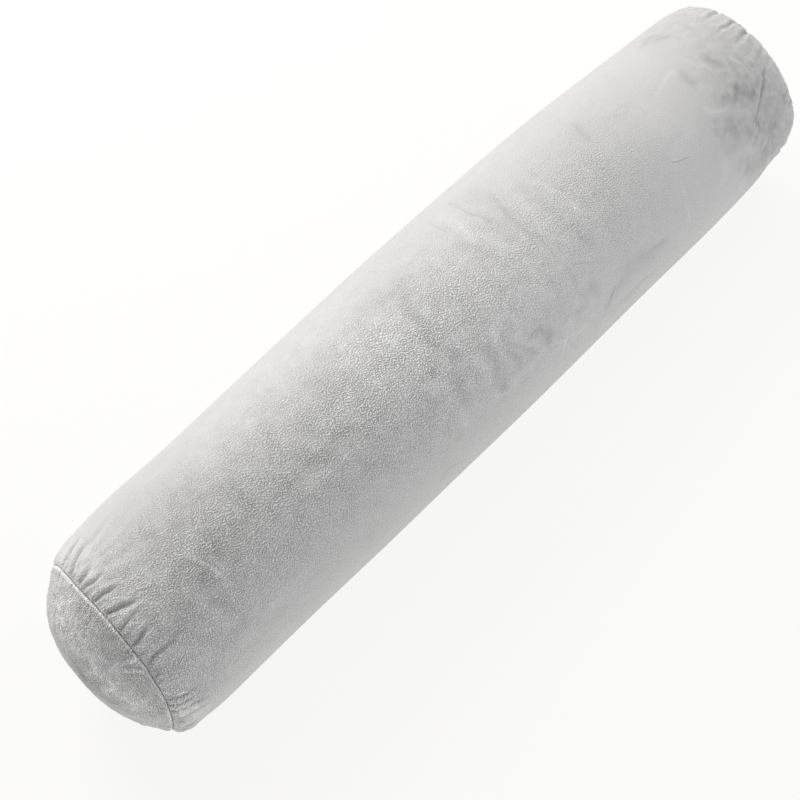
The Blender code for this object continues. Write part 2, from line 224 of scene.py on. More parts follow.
NAP_AND_PAINTED_LIGHT = [
    # the left end panel and its seam: painted highlight on the panel's rim and on the seam's lip, painted
    # shade and highlight on folds
    NapAndPaintedLight(((-438, 27), (-447, 15), (-452, -17), (-447, -58)), 24, 0.32),
    NapAndPaintedLight(((-440, -66), (-447, -98)), 26, 0.14),
    NapAndPaintedLight(((-446, 40), (-453, 75)), 14, 0.14),
    NapAndPaintedLight(((-430, 45), (-440, 0), (-436, -75)), 50, 0.12),
    NapAndPaintedLight(((-434, -8), (-421, -16)), 9, -0.12),
    NapAndPaintedLight(((-439, -18), (-427, -24)), 9, -0.13),
    NapAndPaintedLight(((-434, -29), (-422, -33)), 5, 0.16),
    NapAndPaintedLight(((-439, -32), (-424, -42)), 3, 0.18),
    NapAndPaintedLight(((-439, -14), (-449, -33), (-448, -47)), 4, 0.10),
    NapAndPaintedLight(((-441, 7), (-428, 5), (-422, 0)), 5, 0.12),
    NapAndPaintedLight(((-432, -38), (-425, -43)), 2.5, -0.12),
    NapAndPaintedLight(((-438, -62), (-433, -68), (-428, -73)), 2.5, 0.10),
    NapAndPaintedLight(((-419, 24), (-419, 10), (-420, -15)), 2.6, 0.13),
    NapAndPaintedLight(((-427, -76), (-429, -92)), 2.5, 0.15),
    NapAndPaintedLight(((-418, -62), (-412, -77), (-410, -92)), 18, 0.17),
    NapAndPaintedLight(((-422, -58), (-414, -60)), 2.4, 0.10),
    NapAndPaintedLight(((-423, -64), (-417, -66), (-410, -67)), 2.2, -0.12),
    NapAndPaintedLight(((-424, -68), (-406, -69)), 2.4, 0.10),
    NapAndPaintedLight(((-424, -71), (-414, -71), (-406, -72)), 2.2, -0.09),
    NapAndPaintedLight(((-424, -74), (-406, -75)), 2.4, 0.09),
    NapAndPaintedLight(((-424, -76), (-416, -76), (-407, -77), (-401, -79)), 2.4, -0.13),
    NapAndPaintedLight(((-424, -80), (-415, -81), (-404, -83)), 2.6, 0.09),
    NapAndPaintedLight(((-423, -83), (-414, -84), (-406, -85), (-400, -87)), 2.4, -0.11),
    NapAndPaintedLight(((-422, -91), (-413, -91)), 2.4, -0.08),
    # the tube by its left end, with painted shade and highlight on its folds and creases
    NapAndPaintedLight(((-417, -37), (-396, -34), (-376, -35)), 14, -0.10),
    NapAndPaintedLight(((-409, -23), (-381, -27), (-365, -25)), 25, -0.05),
    NapAndPaintedLight(((-400, -28), (-330, -28)), 60, -0.05),
    NapAndPaintedLight(((-368, -13), (-366, -13)), 7, 0.07),
    NapAndPaintedLight(((-369, -61), (-344, -59)), 14, -0.05),
    NapAndPaintedLight(((-354, -33), (-340, -26)), 10, -0.08),
    NapAndPaintedLight(((-350, 10), (-343, 8)), 6, -0.07),
    NapAndPaintedLight(((-345, 1), (-340, 1)), 6, -0.09),
    NapAndPaintedLight(((-344, -12), (-338, -21), (-333, -30)), 6, -0.13),
    NapAndPaintedLight(((-333, -14), (-330, -22), (-327, -30), (-324, -37)), 3, 0.10),
    NapAndPaintedLight(((-339, -23), (-342, -34), (-343, -47)), 10, -0.13),
    NapAndPaintedLight(((-342, -69), (-318, -63), (-276, -62)), 8, 0.04),
    NapAndPaintedLight(((-317, -9), (-315, -9)), 8, -0.09),
    NapAndPaintedLight(((-312, -16), (-312, -19), (-315, -24)), 13, -0.15),
    NapAndPaintedLight(((-317, -27), (-322, -31)), 7, 0.09),
    NapAndPaintedLight(((-306, -33), (-310, -36), (-312, -39)), 10, -0.10),
    NapAndPaintedLight(((-305, -34), (-292, -34)), 8, 0.06),
    NapAndPaintedLight(((-323, -22), (-308, -21), (-294, -20), (-268, -18)), 13, -0.05),
    NapAndPaintedLight(((-312, 7), (-300, 5), (-290, 4), (-275, 2)), 5, -0.11),
    NapAndPaintedLight(((-274, 2), (-266, 1), (-266, -5), (-269, -12), (-267, -16)), 6, -0.14),
    NapAndPaintedLight(((-282, -13), (-280, -20)), 10, -0.08),
    # the middle, with painted shade and highlight along some creases
    NapAndPaintedLight(((-240, 22), (-150, 18), (-90, 14)), 90, 0.10),
    NapAndPaintedLight(((-165, -8), (-120, -18), (-60, -30), (-34, -40)), 50, 0.06),
    NapAndPaintedLight(((-247, -21), (-217, -21), (-182, -22), (-162, -23)), 6, -0.11),
    NapAndPaintedLight(((-228, -28), (-195, -30), (-167, -30)), 8, 0.11),
    NapAndPaintedLight(((-154, 8), (-144, 2), (-136, -3)), 26, -0.07),
    NapAndPaintedLight(((-94, -36), (-95, -41)), 7, -0.15),
    NapAndPaintedLight(((-85, 16), (-92, 3), (-91, -13)), 3.5, -0.08),
    NapAndPaintedLight(((-80, -38), (-80, -42)), 9, -0.09),
    NapAndPaintedLight(((-78, -67), (-76, -69)), 6, -0.09),
    NapAndPaintedLight(((-69, -35), (-68, -48), (-66, -65)), 7, 0.08),
    NapAndPaintedLight(((-66, -31), (-64, -31)), 5, -0.20),
    NapAndPaintedLight(((-60, -5), (30, -10), (100, -14)), 110, 0.12),
    NapAndPaintedLight(((-55, 14), (-48, 18), (-36, 15)), 7, -0.08),
    NapAndPaintedLight(((-84, 22), (-50, 16), (-30, 14)), 26, -0.08),
    NapAndPaintedLight(((-33, 8), (-38, -5)), 9, -0.15),
    NapAndPaintedLight(((-38, -5), (-46, -21), (-43, -31)), 8, -0.12),
    NapAndPaintedLight(((-43, -31), (-52, -40), (-56, -55)), 9, -0.13),
    NapAndPaintedLight(((-36, -28), (-25, -43), (-23, -67)), 9, 0.06),
    NapAndPaintedLight(((-24, -15), (-20, -15)), 9, 0.07),
    NapAndPaintedLight(((-11, -41), (-13, -57), (-13, -64)), 9, -0.14),
    NapAndPaintedLight(((1, -35), (1, -45), (2, -58)), 7, 0.08),
    NapAndPaintedLight(((8, -49), (12, -63)), 5, -0.14),
    NapAndPaintedLight(((17, -49), (32, -63)), 5, -0.14),
    NapAndPaintedLight(((26, -38), (28, -51), (37, -64)), 6, 0.08),
    NapAndPaintedLight(((33, -52), (48, -53), (52, -65)), 7, -0.15),
    NapAndPaintedLight(((78, -63), (65, -75), (58, -80)), 4, 0.08),
    NapAndPaintedLight(((-21, -68), (9, -67), (40, -65), (67, -70), (96, -76)), 6, 0.07),
    NapAndPaintedLight(((45, 8), (52, -6)), 12, -0.12),
    NapAndPaintedLight(((41, -5), (40, -13)), 5, -0.09),
    NapAndPaintedLight(((54, 33), (51, 14)), 3, -0.07),
    NapAndPaintedLight(((64, 34), (62, 5)), 11, 0.06),
    NapAndPaintedLight(((22, -30), (53, -35), (73, -33)), 30, 0.04),
    NapAndPaintedLight(((69, -7), (85, -13)), 12, 0.07),
    NapAndPaintedLight(((83, 37), (80, 21), (85, 3)), 2.8, -0.10),
    NapAndPaintedLight(((86, 25), (93, 6)), 7, 0.06),
    NapAndPaintedLight(((107, 20), (99, 6), (96, -7), (99, -18), (103, -29), (104, -48)), 3.6, -0.11),
    NapAndPaintedLight(((87, -62), (102, -63)), 8, -0.09),
    NapAndPaintedLight(((98, -59), (118, -57)), 14, -0.05),
    NapAndPaintedLight(((97, 26), (90, 4), (84, -10)), 26, -0.07),
    NapAndPaintedLight(((118, -53), (119, -62)), 6, -0.12),
    NapAndPaintedLight(((123, -80), (144, -67)), 4, -0.12),
    NapAndPaintedLight(((135, 11), (131, 5)), 8, -0.08),
    NapAndPaintedLight(((132, -2), (131, -17), (133, -29), (138, -37)), 9, -0.10),
    NapAndPaintedLight(((144, 7), (149, -5), (150, -17), (149, -25)), 4, 0.09),
    NapAndPaintedLight(((155, -3), (155, -13)), 4, -0.09),
    # the tube by its right end, with painted shade and highlight along some creases and folds
    NapAndPaintedLight(((148, -70), (177, -65), (197, -71)), 14, -0.10),
    NapAndPaintedLight(((148, -83), (196, -84)), 6, -0.09),
    NapAndPaintedLight(((198, -67), (219, -69)), 5, -0.12),
    NapAndPaintedLight(((222, 16), (215, 6)), 8, -0.11),
    NapAndPaintedLight(((246, 9), (257, 5)), 6, -0.05),
    NapAndPaintedLight(((264, 7), (280, 6), (279, -5), (275, -7)), 3, -0.06),
    NapAndPaintedLight(((260, -47), (259, -59), (256, -71)), 3, 0.06),
    NapAndPaintedLight(((265, -53), (269, -68)), 3, -0.05),
    NapAndPaintedLight(((283, -10), (299, -21), (283, -29)), 36, 0.05),
    NapAndPaintedLight(((285, -46), (280, -56)), 3, 0.04),
    NapAndPaintedLight(((306, -1), (339, 4)), 2.8, 0.10),
    NapAndPaintedLight(((325, -51), (323, -59), (315, -68)), 5, 0.07),
    NapAndPaintedLight(((342, -1), (346, -9)), 8, -0.17),
    NapAndPaintedLight(((366, 38), (379, 25)), 9, -0.14),
    NapAndPaintedLight(((368, -4), (371, -13), (388, -18)), 3.5, 0.09),
    NapAndPaintedLight(((376, -4), (380, -8), (380, -12)), 8, -0.19),
    NapAndPaintedLight(((336, -27), (351, -33)), 6, 0.12),
    NapAndPaintedLight(((347, -28), (356, -29), (363, -30)), 6, -0.18),
    NapAndPaintedLight(((371, -31), (388, -34)), 11, -0.30),
    NapAndPaintedLight(((389, -33), (393, -33)), 4, 0.12),
    NapAndPaintedLight(((335, -33), (335, -36)), 4, -0.16),
    NapAndPaintedLight(((331, -41), (342, -42), (352, -43)), 8, -0.20),
    NapAndPaintedLight(((336, -48), (360, -52)), 22, -0.08),
    NapAndPaintedLight(((348, -49), (352, -52)), 5, -0.14),
    NapAndPaintedLight(((370, -45), (358, -44)), 3.5, -0.12),
    NapAndPaintedLight(((383, -51), (382, -58)), 4, -0.22),
    NapAndPaintedLight(((367, -53), (373, -58)), 8, -0.13),
    NapAndPaintedLight(((373, -57), (377, -57)), 3, 0.15),
    NapAndPaintedLight(((357, -64), (361, -64)), 9, 0.10),
    NapAndPaintedLight(((348, -68), (358, -78)), 12, -0.09),
    NapAndPaintedLight(((385, -73), (382, -81)), 6, -0.14),
    NapAndPaintedLight(((398, -13), (404, -29)), 3, 0.12),
    NapAndPaintedLight(((422, -31), (401, -42)), 3.5, -0.24),
    NapAndPaintedLight(((404, -64), (397, -66), (402, -73)), 4.5, -0.26),
    NapAndPaintedLight(((360, -78), (404, -85)), 18, -0.10),
    NapAndPaintedLight(((441, -53), (430, -53)), 2.5, -0.20),
    NapAndPaintedLight(((443, -61), (434, -62)), 2.5, -0.20),
    NapAndPaintedLight(((447, -48), (447, -76)), 7, 0.12),
    NapAndPaintedLight(((447, 36), (447, 5)), 10, -0.12),
    NapAndPaintedLight(((410, 32), (425, -5), (420, -85)), 80, -0.15),
    NapAndPaintedLight(((385, -25), (395, -80)), 80, -0.12),
    NapAndPaintedLight(((398, -38), (402, -80)), 36, -0.08),
]

# How each mark, of the nap and of painted light alike, is drawn
BRUSH_HALF_WIDTH = 0.6       # share of its width at which its shade has faded to a third
BRUSH_REACH = 2.5            # in half widths
BRUSH_EDGE = 2.2             # exponent of its section; a higher one has a sharper edge
BRUSH_UNEVENNESS = dict(seed=31, shortest=0.006, longest=0.020)
BRUSH_UNEVEN_SHARE = 0.2     # how much of its shade comes and goes
BRUSH_LOOSE_WIDTH = 9        # width in mm of a mark that strays by the full reach of STRAY
BRUSH_MOST_STRAYING = 1.2    # shares of that reach

# Where the pile stands up in grains and isn't laid smooth, which the plush also paints paler as light that
# the grains catch; height is the share of the full grain
GRAINY = [
    Lump(-300, -20, 170, 40, 0.85),
    Lump(-60, -20, 130, 38, 0.80),
    Lump(160, -18, 90, 36, 0.38),
    Lump(-400, -60, 60, 30, 0.45),
    Lump(-440, -20, 24, 80, 0.95),
    Lump(-220, 150, 200, 50, 0.55),
    Lump(150, 120, 190, 45, 0.60),
    Lump(260, -150, 120, 40, 0.45),
]
GRAIN_FLOOR = 0.10
GRAIN_RUN = 1.35             # number of grains that keep the same direction

# Where the pile is mottled; height is the share of the full mottling
MOTTLED = [
    Lump(400, -38, 62, 40, 0.35),
    Lump(-448, 0, 26, 120, 0.70),
    Lump(-350, -25, 60, 50, 0.40),
    Lump(50, -62, 100, 26, 0.20),
    Lump(-150, 150, 180, 60, 0.50),
    Lump(200, 130, 180, 60, 0.60),
    Lump(452, 180, 20, 90, 0.50),
]
MOTTLING_FLOOR = 0.05

# Where the cloth itself is crumpled; height is in mm
CRUMPLED = [
    Lump(-446, -10, 26, 100, 0.60),
    Lump(-446, 180, 26, 70, 0.25),
    Lump(400, -25, 60, 60, 0.25),
    Lump(452, 120, 20, 140, 0.20),
    Lump(-395, -5, 22, 60, 0.30),
]
CRUMPLES = dict(seed=41, shortest=0.006, longest=0.022)
CRUMPLE_MEAN = 0.8           # average size of a ripple, taken off so that crumples don't swell the cloth

# Seeded ripples that take the straightness out of what is placed one by one
RIPPLE_WAVES = 36
STRAY = dict(seed=21, shortest=0.012, longest=0.045, reach=0.0022)

# Section across a fold: a valley with a ridge on either side, in widths and depths of the fold
VALLEY_WIDTH = 0.62
RIDGE_AT = 1.35
RIDGE_WIDTH = 0.65
RIDGE_HEIGHT = 0.42
FOLD_REACH = 3.5             # in widths of the fold
FOLD_FULL = 0.35             # share of its length over which a fold keeps its depth
FOLD_STRAYING = 0.35         # shares of the reach of STRAY
CREASE_STRAYING = 0.3

# Degrees between which the photograph shows the pillow, and over which that fades out
SEEN_TURNS = (-112, 72)
SEEN_FADE = 24

# ---- The nets of rings -----------------------------------------------------------------------------------

Ring = namedtuple("Ring", "end away sides")                # away: distance from the seam, inwards above 0

FINE_SIDES = 512
FINE_ZONE = 0.034            # distance from a seam over which the tube's rings are fine
FINE_STEP = 0.0010
COARSE_STEP = 0.0038
STEP_GROWTH = 0.05
PANEL_STEPS = 84
PANEL_LEAST_STEP = 0.0006    # between two rings of a panel
FEWEST_SIDES = 8             # of a ring, apart from the point in its middle
POINT_SPACING = 0.0007       # what the points of a panel's ring keep between them, at least
GROOVE_STEPS = (0.0, 0.0003, 0.0007, 0.0012, 0.0018, 0.0026, 0.0035)
GROOVE_REACH = 0.0011
LIP_AT = {"tube": 0.0030, "panel": 0.0018}     # where the cloth stands highest beside a seam
FOLD_RISE = 0.0022           # distance from the seam over which a fold reaches its depth
PILE_MAP = "pile"            # name of the UV map of a piece's flat cloth, in metres
CLOSING_SHARE = 0.82         # size of a ring that closes a sewn face, as a share of the one before
LAST_CLOSING_SHARE = 0.6     # the same once a ring has no more than MANY_SIDES
MANY_SIDES = 64
POLE_RADIUS = 0.018          # round the middle of a panel, relief fades so that its rings meet

# ---- Cloth simulation ------------------------------------------------------------------------------------

NET_SIDES = 224
NET_STEP = 0.0024            # between rings near a seam
NET_WIDEST_STEP = 0.0070
NET_FINE_ZONE = 0.03         # distance from a seam over which the step stays that fine
NET_STEP_GROWTH = 0.04       # share of the distance past it by which the step grows
NET_POLE = 0.012             # distance from a panel's middle at which the net starts
SIM_FRAMES = 12
SIM_PRESSURE = 50.0
SPARE_CLOTH = 0.08           # how much longer than the seam the gathered cloth is, as a share
SPARE_REACH = 0.025
PANEL_SPARE_SHARE = 0.5      # of the spare cloth that an end panel has
SLACK = 0.004
START_INSET = 0.0010         # how much slimmer the cover starts, since it swells
START_INSET_RISE = 0.02      # distance from a seam over which it gets that slim
RESTING_HEIGHT = 0.0006      # below which the cloth rests on the floor and stays
SIM_CAP = 0.0035             # how far a simulated fold may stand off the outline
SIM_SEED = 5
# Shallow dips that tell the spare cloth where to fold: which seam, which side of it, reach and count
SIM_DIPS = ((0, 1, 0.040, 34), (0, -1, 0.020, 24), (1, -1, 0.036, 34), (1, 1, 0.018, 26))
SIM_DIP_DEPTH = 0.0012
SIM_DIP_DEPTHS = (0.4, 1.0)          # shares of that depth
SIM_DIP_WIDTHS = (0.004, 0.008)
SIM_DIP_REACHES = (0.5, 1.5)         # shares of the row's reach
SIM_DIP_RISE = 0.004                 # distance from the seam over which a dip sets in
SIM_ROUGHNESS = 0.00003
SEEN_SHARE = 0.5             # what is left of the simulated folds where the folds are placed one by one
TAUT_FROM = 0.060            # distance from a seam at which the tube is nearly taut
TAUT_SHARE = 0.15            # what is left of the simulated folds there

# ---- Outline, nets and relief ----------------------------------------------------------------------------


def smoothstep(value):
    value = np.clip(value, 0.0, 1.0)
    return value * value * (3 - 2 * value)


def by_end(x, key):
    return np.where(x < 0, ENDS["left"][key], ENDS["right"][key])


def crowned_radius(x):
    from_top = HALF_LENGTH - np.abs(x)
    crown = CROWN * (1 - ((x - CROWN_CENTRE) / HALF_LENGTH) ** 2)
    return BODY_RADIUS + crown + by_end(x, "swell") * np.maximum(0, 1 - from_top / SWELL_REACH) ** 2


def outline_radius(x):
    from_top = np.maximum(HALF_LENGTH - np.abs(x), 0)
    roundness = by_end(x, "roundness")
    rounded = np.maximum(0, 1 - from_top / by_end(x, "rounding")) ** roundness
    return crowned_radius(x) * (1 - rounded) ** (1 / roundness)


def outline_normal(x):
    """Outward direction of the outline at x, as its share along X and its share along the radius."""
    before = np.clip(x - NORMAL_STEP, -HALF_LENGTH, HALF_LENGTH)
    after = np.clip(x + NORMAL_STEP, -HALF_LENGTH, HALF_LENGTH)
    run, rise = after - before, outline_radius(after) - outline_radius(before)
    length = np.hypot(run, rise)
    return -rise / length, run / length


OUTLINE_X = -HALF_LENGTH * np.cos(np.linspace(0, math.pi, OUTLINE_POINTS))
OUTLINE_STEPS = np.hypot(np.diff(OUTLINE_X), np.diff(outline_radius(OUTLINE_X)))
OUTLINE_ARC = np.concatenate([[0], np.cumsum(OUTLINE_STEPS)])


def arc_at(x):
    """Length of the outline from its left end to x."""
    return np.interp(x, OUTLINE_X, OUTLINE_ARC)


def seam_wander(end_name, turn):
    if end_name == "right":
        return np.zeros_like(turn)
    turns, offsets = zip(*LEFT_SEAM_WANDER)
    return np.interp(np.degrees(turn), turns, offsets) * MM


def laid_down(x, y, z):
    """Places of points round the axis once the pillow has slumped, skewed and bent, on the floor."""
    radius = np.hypot(y, z) + 1e-9
    fullness = (1 - np.minimum(1, np.abs(y) / radius) ** UNDERSIDE) ** (1 / UNDERSIDE)
    slumped = np.where(z < 0, -radius * fullness * (AXIS_HEIGHT + FLAT_SPOT) / crowned_radius(x), z)
    height = slumped + AXIS_HEIGHT
    pressed = np.where(height < FLAT_EDGE, np.maximum(0, height + FLAT_EDGE) ** 2 / (4 * FLAT_EDGE), height)
    along = np.abs(x) / HALF_LENGTH
    return np.stack([x + by_end(x, "skew") * along ** 3 * y, y - BOW * along ** 2, pressed], axis=-1)


def surface(x, turn, relief=0.0):
    """Places of points at x and turn, standing off the outline by their relief."""
    out_x, out_radius = outline_normal(x)
    radius = outline_radius(x) + relief * out_radius
    return laid_down(x + relief * out_x, radius * np.sin(turn), radius * np.cos(turn))


def turns_of(sides):
    return np.linspace(-math.pi, math.pi, sides, endpoint=False)


def turn_off(turn, degrees):
    """Turn from a place round the pillow, the shorter way."""
    return (turn - math.radians(degrees) + math.pi) % math.tau - math.pi


class Net:
    """The points of a piece of cloth, ring after ring towards +X, and where they lie on the outline."""

    def __init__(self, rings):
        self.counts = [ring.sides for ring in rings]
        self.turn = np.concatenate([turns_of(ring.sides) for ring in rings])
        self.away = np.repeat([ring.away for ring in rings], self.counts)
        left = np.repeat([ring.end == "left" for ring in rings], self.counts)
        self.station = np.where(left, SEAM_AT["left"] + self.away, SEAM_AT["right"] - self.away)
        wander = np.where(left, seam_wander("left", self.turn), seam_wander("right", self.turn))
        panel = np.where(left, ENDS["left"]["panel"], ENDS["right"]["panel"])
        fade = np.where(self.away < 0, np.maximum(0, 1 + self.away / panel),
                        np.maximum(0, 1 - self.away / WANDER_REACH) ** 2)
        self.x = self.station + wander * fade
        self.arc = arc_at(self.x)
        strays = [self.ripples(STRAY["seed"] + way, STRAY["shortest"], STRAY["longest"]) for way in (0, 1)]
        self.stray = np.stack(strays, axis=-1) * STRAY["reach"]

    def ripples(self, seed, shortest, longest):
        """Smooth seeded noise over the pillow, about 0 and with a spread of 1."""
        draw = np.random.default_rng(seed)
        radius = outline_radius(self.x)
        place = np.stack([self.x, radius * np.sin(self.turn), radius * np.cos(self.turn)], axis=-1)
        total = np.zeros(len(self.x))
        for _ in range(RIPPLE_WAVES):
            way = draw.standard_normal(3)
            length = shortest * (longest / shortest) ** draw.uniform()
            way *= math.tau / length / np.linalg.norm(way)
            total += np.sin(place @ way + draw.uniform(0, math.tau))
        return total * math.sqrt(2 / RIPPLE_WAVES)

    def off_path(self, path, reach, straying):
        """Points within reach of a path of (x mm, turn degrees), their share along it and distance across."""
        middle = sum(turn for _, turn in path) / len(path)
        path_x = np.array([x for x, _ in path]) * MM
        radius = float(outline_radius(path_x.mean()))
        path_turn = np.radians([turn - middle for _, turn in path])
        corners = np.stack([arc_at(path_x), path_turn * radius], axis=-1)
        flat = np.stack([self.arc, turn_off(self.turn, middle) * radius], axis=-1) + straying * self.stray
        low, high = corners.min(axis=0) - reach, corners.max(axis=0) + reach
        near = np.flatnonzero(np.all((flat > low) & (flat < high), axis=1))
        share, across = along_and_across(flat[near], corners)
        return near, share, across

    def lumps(self, lumps):
        """Sum of broad soft lumps."""
        total = np.zeros(len(self.x))
        for lump in lumps:
            along = (self.x - lump.x * MM) / (lump.long * MM)
            around = turn_off(self.turn, lump.turn) / math.radians(lump.wide)
            total += lump.height * np.exp(-along ** 2 - around ** 2)
        return total


def along_and_across(points, corners):
    """Share along a path from 0 to 1 and signed distance across it, for points laid out flat."""
    lengths = np.hypot(*np.diff(corners, axis=0).T)
    nearest = np.full(len(points), np.inf)
    share, across = np.zeros(len(points)), np.zeros(len(points))
    passed = 0.0
    for start, stop, length in zip(corners, corners[1:], lengths):
        way = (stop - start) / length
        off = points - start
        on = np.clip(off @ way, 0, length)
        distance = np.hypot(*(off - on[:, None] * way).T)
        side = np.where(way[0] * off[:, 1] - way[1] * off[:, 0] < 0, -1.0, 1.0)
        closer = distance < nearest
        nearest = np.where(closer, distance, nearest)
        share = np.where(closer, (passed + on) / lengths.sum(), share)
        across = np.where(closer, side * distance, across)
        passed += length
    return share, across


def fold_section(across, width):
    """Height across a fold of depth 1: a valley with the cloth pushed up on either side."""
    off = np.abs(across) / width
    ridges = np.exp(-((off - RIDGE_AT) / RIDGE_WIDTH) ** 2)
    return -np.exp(-(off / VALLEY_WIDTH) ** 2) + RIDGE_HEIGHT * ridges


def fold_relief(net, folds):
    total = np.zeros(len(net.x))
    for fold in folds:
        width = fold.width * MM
        near, share, across = net.off_path(fold.path, FOLD_REACH * width, FOLD_STRAYING)
        along = 1 - smoothstep((share - FOLD_FULL) / (1 - FOLD_FULL))
        total[near] += fold.depth * MM * along * fold_section(across, width)
    return total * (1 - np.exp(-(net.away / FOLD_RISE) ** 2))


def unseen_folds(part):
    """Gathers in their seeded places on a part of the cover, where none is listed."""
    end_name, panel = part.split()[0], part.endswith("panel")
    draw = np.random.default_rng([GATHER_SEED, list(FOLDS).index(part)])
    outwards = -INWARD[end_name] if panel else INWARD[end_name]
    seam = SEAM_AT[end_name] / MM
    folds = []
    for spread in UNSEEN_GATHERS[part]:
        pitch = (spread.last - spread.first) / spread.count
        for place_in_row in range(spread.count):
            turn = spread.first + pitch * (place_in_row + draw.uniform(*GATHER_PLACES))
            length = spread.length * draw.uniform(*GATHER_LENGTHS)
            lean = draw.uniform(-GATHER_LEAN, GATHER_LEAN)
            start = seam + float(seam_wander(end_name, np.radians(turn))) / MM
            path = ((start, turn), (start + outwards * length / 2, turn + lean / 3),
                    (start + outwards * length, turn + lean))
            width, depth = draw.uniform(*GATHER_WIDTHS), spread.depth * draw.uniform(*GATHER_DEPTHS)
            folds.append(Fold(path, width, depth))
    return folds


def seam_relief(net, depth, lip):
    """The groove that a seam draws into the cloth, and the lip that stands beside it."""
    away = np.abs(net.away)
    groove = np.exp(-(away - SEAM_GAP / 2) / GROOVE_REACH)
    share = away / np.where(net.away < 0, LIP_AT["panel"], LIP_AT["tube"])
    return lip * share * np.exp(1 - share) - depth * groove


def seen(turn):
    """How far a point lies on the side that the photograph shows, from 0 to 1."""
    degrees, (first, last) = np.degrees(turn), SEEN_TURNS
    return smoothstep((degrees - first) / SEEN_FADE) * smoothstep((last - degrees) / SEEN_FADE)


# ---- The simulated cover ---------------------------------------------------------------------------------


def net_arcs():
    """Places along the outline of the simulated net's rings, and the two of them that are seams."""
    seams = [float(arc_at(SEAM_AT[end])) for end in ("left", "right")]

    def between(start, stop):
        arcs = [start]
        while arcs[-1] < stop:
            from_seam = min(abs(arcs[-1] - seam) for seam in seams)
            grown = NET_STEP + NET_STEP_GROWTH * max(0.0, from_seam - NET_FINE_ZONE)
            arcs.append(arcs[-1] + min(NET_WIDEST_STEP, grown))
        return start + (np.array(arcs[:-1]) - start) * (stop - start) / (arcs[-1] - start)

    stretches = [between(NET_POLE, seams[0]), between(*seams), between(seams[1], OUTLINE_ARC[-1] - NET_POLE)]
    arcs = np.concatenate(stretches)
    return arcs, [len(stretches[0]), len(stretches[0]) + len(stretches[1])]


def tube_faces(rings, sides):
    """Faces of a closed skin of rings, each end closed by a fan to a point of its own."""
    first, last = rings * sides, rings * sides + 1
    faces = []
    for i in range(sides):
        j = (i + 1) % sides
        for start in range(0, first - sides, sides):
            faces.append((start + i, start + sides + i, start + sides + j, start + j))
        faces += [(first, i, j), (first - sides + i, last, first - sides + j)]
    return faces


